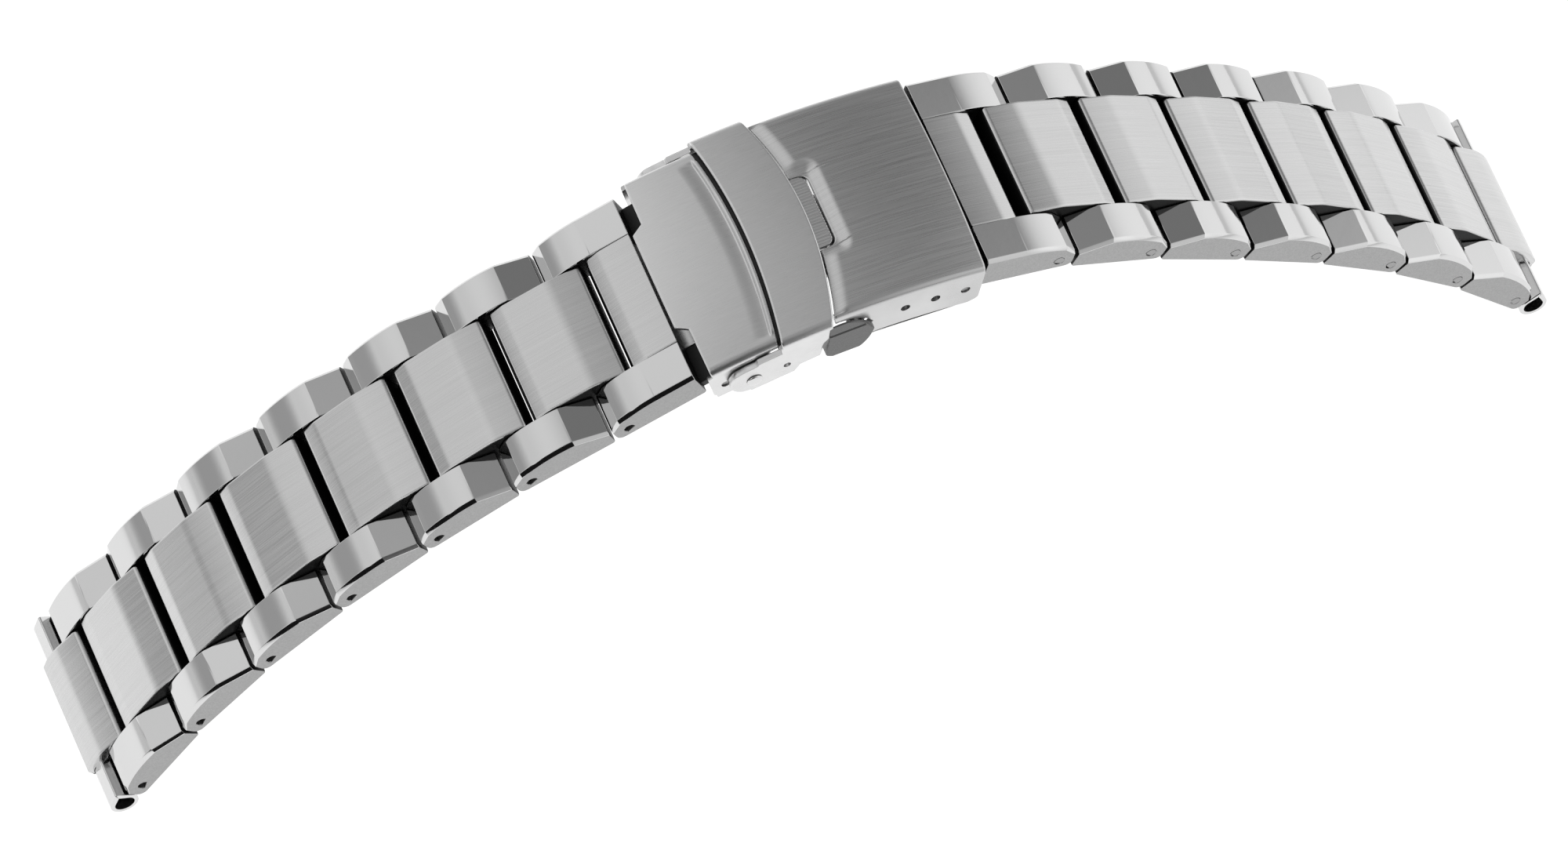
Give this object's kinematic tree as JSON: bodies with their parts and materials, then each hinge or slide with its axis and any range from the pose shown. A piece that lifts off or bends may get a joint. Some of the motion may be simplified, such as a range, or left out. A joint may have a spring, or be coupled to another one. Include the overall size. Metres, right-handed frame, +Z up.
{
  "type": "watch bracelet",
  "caption": "Steel three-row link watch bracelet with folding clasp, flip safety bar, push buttons and tube ends for spring bars.",
  "frame": {"origin": "centre of the bounding box on the table plane, with the bracelet standing on its two watch ends as an arch", "axes": "+X along the bracelet towards the micro-adjust side of the clasp, +Y across the bracelet, +Z up and away from the wrist"},
  "size_m": [0.142, 0.0236, 0.0479],
  "materials": {
    "polished_steel": "mirror polished",
    "bright_sheet": "bright rolled sheet",
    "brushed_steel": "brushed along the bracelet",
    "satin_steel": "fine satin",
    "brushed_cover": "brushed along the bracelet",
    "bright_trim": "polished",
    "blade_steel": "plain satin",
    "pin_steel": "drawn wire"
  },
  "bodies": {
    "cover": {"cover": "brushed_cover", "hinge_stubs": "pin_steel", "button_springs": "pin_steel", "spring_bar_right": "pin_steel"},
    "right_link_7": {"right_outers_7": "polished_steel", "right_end_middle": "brushed_steel", "right_pin_7": "pin_steel"},
    "right_link_6": {"right_outers_6": "polished_steel", "right_middle_7": "brushed_steel", "right_pin_6": "pin_steel"},
    "right_link_5": {"right_outers_5": "polished_steel", "right_middle_6": "brushed_steel", "right_pin_5": "pin_steel"},
    "right_link_4": {"right_outers_4": "polished_steel", "right_middle_5": "brushed_steel", "right_pin_4": "pin_steel"},
    "right_link_3": {"right_outers_3": "polished_steel", "right_middle_4": "brushed_steel", "right_pin_3": "pin_steel"},
    "right_link_2": {"right_outers_2": "polished_steel", "right_middle_3": "brushed_steel", "right_pin_2": "pin_steel"},
    "right_link_1": {"right_outers_1": "polished_steel", "right_middle_2": "brushed_steel", "right_pin_1": "pin_steel"},
    "right_watch_end": {"right_middle_1": "brushed_steel", "right_end_tube": "bright_sheet"},
    "left_link_7": {"left_outers_7": "polished_steel", "left_end_middle": "brushed_steel", "left_pin_7": "pin_steel"},
    "left_link_6": {"left_outers_6": "polished_steel", "left_middle_7": "brushed_steel", "left_pin_6": "pin_steel"},
    "left_link_5": {"left_outers_5": "polished_steel", "left_middle_6": "brushed_steel", "left_pin_5": "pin_steel"},
    "left_link_4": {"left_outers_4": "polished_steel", "left_middle_5": "brushed_steel", "left_pin_4": "pin_steel"},
    "left_link_3": {"left_outers_3": "polished_steel", "left_middle_4": "brushed_steel", "left_pin_3": "pin_steel"},
    "left_link_2": {"left_outers_2": "polished_steel", "left_middle_3": "brushed_steel", "left_pin_2": "pin_steel"},
    "left_link_1": {"left_outers_1": "polished_steel", "left_middle_2": "brushed_steel", "left_pin_1": "pin_steel"},
    "left_watch_end": {"left_middle_1": "brushed_steel", "left_end_tube": "bright_sheet"},
    "outer_blade": {"outer_blade": "blade_steel"},
    "end_plate": {"end_plate": "satin_steel", "inner_blade": "blade_steel", "fold_pin": "pin_steel", "rivets": "bright_trim", "spring_bar_left": "pin_steel"},
    "safety_bar": {"safety_bar": "satin_steel"},
    "button_near": {"button_near": "bright_trim"},
    "button_far": {"button_far": "bright_trim"}
  },
  "joints": [
    {"name": "right_clasp_pivot", "type": "hinge", "parent": "cover", "child": "right_link_7", "pos_m": [0.01213, 0, 0.04364], "axis": [0, 1, 0], "range_deg": [-8, 19.7]},
    {"name": "right_pivot_7", "type": "hinge", "parent": "right_link_7", "child": "right_link_6", "pos_m": [0.02148, 0, 0.04142], "axis": [0, 1, 0], "range_deg": [-17.1, 16.9]},
    {"name": "right_pivot_6", "type": "hinge", "parent": "right_link_6", "child": "right_link_5", "pos_m": [0.03043, 0, 0.03697], "axis": [0, 1, 0], "range_deg": [-11.5, 22.5]},
    {"name": "right_pivot_5", "type": "hinge", "parent": "right_link_5", "child": "right_link_4", "pos_m": [0.03873, 0, 0.03139], "axis": [0, 1, 0], "range_deg": [-6.5, 27.5]},
    {"name": "right_pivot_4", "type": "hinge", "parent": "right_link_4", "child": "right_link_3", "pos_m": [0.04678, 0, 0.02546], "axis": [0, 1, 0], "range_deg": [-9, 25]},
    {"name": "right_pivot_3", "type": "hinge", "parent": "right_link_3", "child": "right_link_2", "pos_m": [0.05427, 0, 0.01884], "axis": [0, 1, 0], "range_deg": [-9.5, 24.5]},
    {"name": "right_pivot_2", "type": "hinge", "parent": "right_link_2", "child": "right_link_1", "pos_m": [0.0611, 0, 0.01153], "axis": [0, 1, 0], "range_deg": [-10, 24]},
    {"name": "right_pivot_1", "type": "hinge", "parent": "right_link_1", "child": "right_watch_end", "pos_m": [0.06713, 0, 0.00356], "axis": [0, 1, 0], "range_deg": [-7, 21]},
    {"name": "left_clasp_pivot", "type": "hinge", "parent": "end_plate", "child": "left_link_7", "pos_m": [-0.0108, 0, 0.04184], "axis": [0, 1, 0], "range_deg": [-17.9, 9]},
    {"name": "left_pivot_7", "type": "hinge", "parent": "left_link_7", "child": "left_link_6", "pos_m": [-0.01976, 0, 0.03839], "axis": [0, 1, 0], "range_deg": [-30.5, 3.5]},
    {"name": "left_pivot_6", "type": "hinge", "parent": "left_link_6", "child": "left_link_5", "pos_m": [-0.02912, 0, 0.03488], "axis": [0, 1, 0], "range_deg": [-24, 10]},
    {"name": "left_pivot_5", "type": "hinge", "parent": "left_link_5", "child": "left_link_4", "pos_m": [-0.03807, 0, 0.0304], "axis": [0, 1, 0], "range_deg": [-24.5, 9.5]},
    {"name": "left_pivot_4", "type": "hinge", "parent": "left_link_4", "child": "left_link_3", "pos_m": [-0.04654, 0, 0.02509], "axis": [0, 1, 0], "range_deg": [-24, 10]},
    {"name": "left_pivot_3", "type": "hinge", "parent": "left_link_3", "child": "left_link_2", "pos_m": [-0.05441, 0, 0.01893], "axis": [0, 1, 0], "range_deg": [-22, 12]},
    {"name": "left_pivot_2", "type": "hinge", "parent": "left_link_2", "child": "left_link_1", "pos_m": [-0.06135, 0, 0.01172], "axis": [0, 1, 0], "range_deg": [-22, 12]},
    {"name": "left_pivot_1", "type": "hinge", "parent": "left_link_1", "child": "left_watch_end", "pos_m": [-0.06722, 0, 0.00363], "axis": [0, 1, 0], "range_deg": [-20, 8]},
    {"name": "cover_hinge", "type": "hinge", "parent": "cover", "child": "outer_blade", "pos_m": [0.00406, 0, 0.04286], "axis": [0, 1, 0], "range_deg": [0, 165]},
    {"name": "blade_fold", "type": "hinge", "parent": "outer_blade", "child": "end_plate", "pos_m": [0.01223, 0, 0.04185], "axis": [0, 1, 0], "range_deg": [-165, 0]},
    {"name": "safety_bar_hinge", "type": "hinge", "parent": "end_plate", "child": "safety_bar", "pos_m": [-0.00836, 0, 0.04212], "axis": [0, 1, 0], "range_deg": [-100, 0]},
    {"name": "button_near_push", "type": "slide", "parent": "cover", "child": "button_near", "axis": [0, 1, 0], "range_m": [0, 0.0006], "stiffness_N_per_m": 900, "springref_m": -0.0006},
    {"name": "button_far_push", "type": "slide", "parent": "cover", "child": "button_far", "axis": [0, -1, 0], "range_m": [0, 0.0006], "stiffness_N_per_m": 900, "springref_m": -0.0006}
  ],
  "couplings": [
    {"joint": "blade_fold", "follows": "cover_hinge", "ratio": -1}
  ]
}
